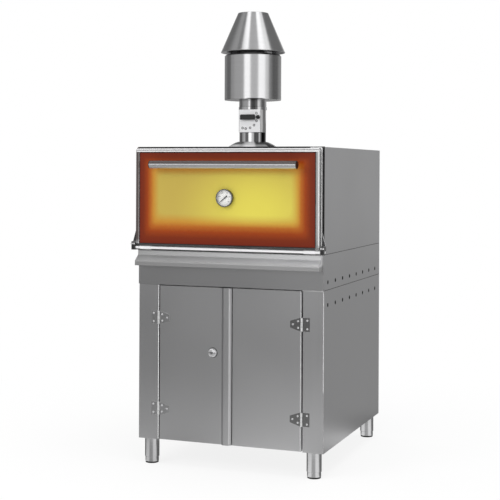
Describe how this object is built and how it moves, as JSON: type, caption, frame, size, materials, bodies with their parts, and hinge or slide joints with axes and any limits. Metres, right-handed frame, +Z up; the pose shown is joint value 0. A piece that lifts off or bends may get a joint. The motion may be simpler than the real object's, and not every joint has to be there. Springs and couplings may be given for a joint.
{
  "type": "charcoal_grill_oven",
  "caption": "Commercial charcoal grill oven in stainless steel with an orange enamelled drop-down door, a flue with damper, firebreak and hat, on a closed two-door stand.",
  "frame": {"origin": "on the floor, under the middle of the whole object's bounding box", "axes": "+X to the right as seen from the front, +Y towards the back, +Z up"},
  "size_m": [0.832, 0.961, 1.88],
  "materials": {
    "stainless": "satin",
    "bright_trim": "polished",
    "orange_enamel": "gloss",
    "dark_fitting": "satin",
    "hot_steel": "matte",
    "grate_iron": "matte",
    "fibre": "matte",
    "dial_face": "satin",
    "dial_glass": "gloss",
    "magnet_black": "matte",
    "dark_fitting_metal": "satin"
  },
  "bodies": {
    "carcass": {"legs": "stainless", "stand_floor": "stainless", "stand_side_left": "stainless", "stand_side_right": "stainless", "stand_back": "stainless", "stand_deck": "stainless", "front_posts": "stainless", "door_magnets": "magnet_black", "post_hinge_leaves": "bright_trim", "post_hinge_screws": "bright_trim", "base_skirt": "stainless", "base_deck": "stainless", "fascia": "stainless", "ash_ledge": "stainless", "oven_side_left": "stainless", "oven_side_right": "stainless", "oven_wrap": "stainless", "front_frame": "bright_trim", "hinge_brackets": "stainless", "hinge_rod": "bright_trim", "dome_nuts": "bright_trim", "fire_chamber": "hot_steel", "insulation": "fibre", "charcoal_grate": "grate_iron", "ash_pan": "hot_steel", "grill_rack": "stainless", "flue_collar": "stainless", "flue_pipe": "stainless", "scale_plate": "stainless"},
    "oven_door": {"door_frame": "bright_trim", "enamel_panel": "orange_enamel", "door_core": "fibre", "door_plug": "stainless", "rope_seal": "fibre", "door_barrels": "stainless", "handle_tube": "bright_trim", "handle_caps": "dark_fitting", "handle_posts": "bright_trim", "gauge_case": "stainless", "gauge_dial": "dial_face", "gauge_glass": "dial_glass"},
    "needle": {"gauge_needle": "dark_fitting"},
    "left_door": {"left_door": "stainless", "left_door_grip": "stainless", "left_door_hinge_leaves": "bright_trim", "left_door_screws": "bright_trim", "lock_case": "bright_trim"},
    "lock": {"lock_plug": "bright_trim"},
    "right_door": {"right_door": "stainless", "right_door_hinge_leaves": "bright_trim", "right_door_screws": "bright_trim"},
    "damper": {"damper_shaft": "dark_fitting_metal", "damper_disc": "hot_steel", "damper_knob": "dark_fitting"},
    "firebreak": {"firebreak": "stainless"},
    "hat": {"hat_cone": "stainless"},
    "foot_front_left": {"foot_front_left": "stainless"},
    "foot_front_right": {"foot_front_right": "stainless"},
    "foot_back_left": {"foot_back_left": "stainless"},
    "foot_back_right": {"foot_back_right": "stainless"}
  },
  "joints": [
    {"name": "oven_door_hinge", "type": "hinge", "parent": "carcass", "child": "oven_door", "pos_m": [0, -0.4185, 0.8965], "axis": [1, 0, 0], "range_deg": [0, 90]},
    {"name": "left_door_hinge", "type": "hinge", "parent": "carcass", "child": "left_door", "pos_m": [-0.31, -0.383, 0.42], "axis": [0, 0, -1], "range_deg": [0, 170]},
    {"name": "right_door_hinge", "type": "hinge", "parent": "carcass", "child": "right_door", "pos_m": [0.31, -0.383, 0.42], "axis": [0, 0, 1], "range_deg": [0, 170]},
    {"name": "lock_turn", "type": "hinge", "parent": "left_door", "child": "lock", "pos_m": [-0.07, -0.3795, 0.4745], "axis": [0, -1, 0], "range_deg": [0, 90]},
    {"name": "needle_turn", "type": "hinge", "parent": "oven_door", "child": "needle", "pos_m": [0, -0.4315, 1.1035], "axis": [0, 1, 0], "range_deg": [0, 260], "stiffness_Nm_per_rad": 0.00002},
    {"name": "damper_turn", "type": "hinge", "parent": "carcass", "child": "damper", "pos_m": [0, -0.1155, 1.437], "axis": [0, 1, 0], "range_deg": [0, 90]},
    {"name": "foot_front_left_screw", "type": "slide", "parent": "carcass", "child": "foot_front_left", "axis": [0, 0, -1], "range_m": [0, 0.03]},
    {"name": "foot_front_right_screw", "type": "slide", "parent": "carcass", "child": "foot_front_right", "axis": [0, 0, -1], "range_m": [0, 0.03]},
    {"name": "foot_back_left_screw", "type": "slide", "parent": "carcass", "child": "foot_back_left", "axis": [0, 0, -1], "range_m": [0, 0.03]},
    {"name": "foot_back_right_screw", "type": "slide", "parent": "carcass", "child": "foot_back_right", "axis": [0, 0, -1], "range_m": [0, 0.03]},
    {"name": "firebreak_lift", "type": "slide", "parent": "carcass", "child": "firebreak", "axis": [0, 0, 1], "range_m": [0, 0.04]},
    {"name": "hat_lift", "type": "slide", "parent": "firebreak", "child": "hat", "axis": [0, 0, 1], "range_m": [0, 0.05]}
  ]
}
